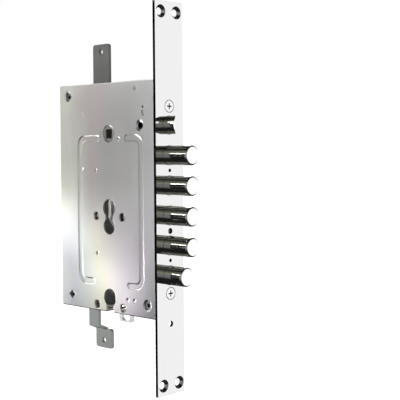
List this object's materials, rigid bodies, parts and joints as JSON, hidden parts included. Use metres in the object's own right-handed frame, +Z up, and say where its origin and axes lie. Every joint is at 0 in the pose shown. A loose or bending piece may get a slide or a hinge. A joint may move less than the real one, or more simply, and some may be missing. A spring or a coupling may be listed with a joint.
{
  "type": "multipoint mortise lock",
  "caption": "Cylinder mortise lock for a security door, with round deadbolts, a latch, a service bolt and top and bottom rods.",
  "frame": {"origin": "on the main cylinder's axis, midway through the case's thickness", "axes": "+X the way the bolts throw, out of the forend; +Z up; -Y out of the visible cover"},
  "size_m": [0.171, 0.035, 0.366],
  "materials": {
    "polished_steel": "mirror polished stainless plate",
    "zinc_plate": "satin sheet with a thin passivated zinc plate",
    "nickel_bolt": "turned and nickel plated, bright",
    "plain_steel": "plain rolled strip, dull grey",
    "hard_steel": "hardened dark plate",
    "spring_steel": "drawn wire, oiled",
    "sintered_steel": "sintered steel, slightly warm grey",
    "turned_steel": "turned and zinc plated"
  },
  "bodies": {
    "case": {"forend": "polished_steel", "bolt_guide": "zinc_plate", "case_shell": "zinc_plate", "cover_plate": "zinc_plate", "drill_plate": "hard_steel", "case_posts": "turned_steel", "case_screws": "turned_steel", "forend_blocks": "turned_steel", "forend_screws": "turned_steel", "carriage_studs": "turned_steel", "drive_arbor": "turned_steel", "drive_clip": "spring_steel", "service_arbor": "turned_steel", "service_clip": "spring_steel", "service_stud": "turned_steel", "spring_bracket": "zinc_plate", "rod_studs": "turned_steel", "follower_spring": "spring_steel", "latch_spring": "spring_steel", "cylinder_cradle": "zinc_plate"},
    "carriage": {"deadbolt_1": "nickel_bolt", "deadbolt_2": "nickel_bolt", "deadbolt_3": "nickel_bolt", "deadbolt_4": "nickel_bolt", "bolt_carriage": "plain_steel", "bolt_rivets": "turned_steel", "carriage_rack": "sintered_steel", "rack_rivets": "turned_steel"},
    "drive_wheel": {"drive_wheel": "sintered_steel"},
    "service_slide": {"service_bolt": "nickel_bolt", "service_slide": "plain_steel", "service_rivet": "turned_steel"},
    "service_wheel": {"service_wheel": "sintered_steel"},
    "latch": {"latch_bolt": "nickel_bolt", "latch_tail": "plain_steel", "latch_pin": "turned_steel"},
    "follower": {"handle_follower": "sintered_steel"},
    "top_rod": {"top_rod": "plain_steel", "top_rod_pin": "turned_steel"},
    "bottom_rod": {"bottom_rod": "plain_steel", "bottom_rod_pin": "turned_steel"}
  },
  "joints": [
    {"name": "bolt_throw", "type": "slide", "parent": "case", "child": "carriage", "axis": [1, 0, 0], "range_m": [-0.03, 0]},
    {"name": "drive_wheel_turn", "type": "hinge", "parent": "case", "child": "drive_wheel", "pos_m": [0, 0, 0.0245], "axis": [0, 1, 0], "range_deg": [-238.73, 0]},
    {"name": "top_rod_slide", "type": "slide", "parent": "case", "child": "top_rod", "axis": [0, 0, 1], "range_m": [-0.02, 0]},
    {"name": "bottom_rod_slide", "type": "slide", "parent": "case", "child": "bottom_rod", "axis": [0, 0, 1], "range_m": [0, 0.02]},
    {"name": "service_throw", "type": "slide", "parent": "case", "child": "service_slide", "axis": [1, 0, 0], "range_m": [-0.022, 0]},
    {"name": "service_wheel_turn", "type": "hinge", "parent": "case", "child": "service_wheel", "pos_m": [0, 0, -0.0625], "axis": [0, 1, 0], "range_deg": [-175.07, 0]},
    {"name": "handle_turn", "type": "hinge", "parent": "case", "child": "follower", "pos_m": [0, 0, 0.072], "axis": [0, -1, 0], "range_deg": [0, 35], "stiffness_Nm_per_rad": 0.4, "springref_deg": -22.92},
    {"name": "latch_slide", "type": "slide", "parent": "case", "child": "latch", "axis": [1, 0, 0], "range_m": [-0.01203, 0], "deforming": ["latch_spring"]}
  ],
  "couplings": [
    {"joint": "drive_wheel_turn", "follows": "bolt_throw", "rad_per_m": 138.88},
    {"joint": "top_rod_slide", "follows": "bolt_throw", "ratio": 0.66666},
    {"joint": "bottom_rod_slide", "follows": "bolt_throw", "ratio": -0.66666},
    {"joint": "service_wheel_turn", "follows": "service_throw", "rad_per_m": 138.88},
    {"joint": "latch_slide", "follows": "handle_turn", "m_per_rad": -0.01969}
  ]
}
